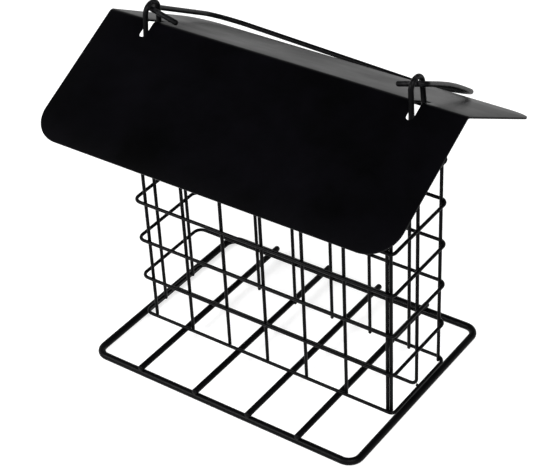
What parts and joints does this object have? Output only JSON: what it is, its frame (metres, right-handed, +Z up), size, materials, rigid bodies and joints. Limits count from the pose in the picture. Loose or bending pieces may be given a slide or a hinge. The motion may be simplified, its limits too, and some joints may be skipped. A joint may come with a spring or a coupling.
{
  "type": "suet feeder",
  "caption": "Black wire suet cage on a rectangular perch frame, with a folded sheet roof slotted over two wire eyes and a folding wire bail to hang it by.",
  "frame": {"origin": "on the ground, halfway along the ridge and under the middle of the overall depth with the bail folded back", "axes": "+X along the ridge towards the bail's short tail, -Y the front, +Z up"},
  "size_m": [0.1676, 0.122, 0.1541],
  "materials": {
    "wire_coat": "satin black powder coat on steel wire",
    "roof_coat": "smooth satin black powder coat on sheet steel"
  },
  "bodies": {
    "cage": {"perch_rail": "wire_coat", "perch_cross_wire_1": "wire_coat", "perch_cross_wire_2": "wire_coat", "perch_cross_wire_3": "wire_coat", "perch_cross_wire_4": "wire_coat", "cage_ring_1": "wire_coat", "cage_ring_2": "wire_coat", "cage_ring_3": "wire_coat", "cage_ring_4": "wire_coat", "cage_ring_5": "wire_coat", "cage_ring_6": "wire_coat", "cage_ring_7": "wire_coat", "front_post_1": "wire_coat", "front_post_2": "wire_coat", "front_post_3": "wire_coat", "front_post_4": "wire_coat", "front_post_5": "wire_coat", "front_post_6": "wire_coat", "front_post_7": "wire_coat", "back_post_1": "wire_coat", "back_post_2": "wire_coat", "back_post_3": "wire_coat", "back_post_4": "wire_coat", "back_post_5": "wire_coat", "back_post_6": "wire_coat", "front_right_seam_post": "wire_coat", "back_right_corner_post": "wire_coat", "back_left_corner_post": "wire_coat", "back_left_seam_post": "wire_coat", "floor_and_end_wire": "wire_coat", "left_eye": "wire_coat", "right_eye": "wire_coat"},
    "roof": {"roof_sheet": "roof_coat"},
    "bail": {"bail": "wire_coat"}
  },
  "joints": [
    {"name": "roof_lift", "type": "slide", "parent": "cage", "child": "roof", "axis": [0, 0, 1], "range_m": [0, 0.001]},
    {"name": "bail_swing", "type": "hinge", "parent": "cage", "child": "bail", "pos_m": [0, -0.00445, 0.14958], "axis": [0.9999, 0, 0.0151], "range_deg": [0, 240]}
  ]
}
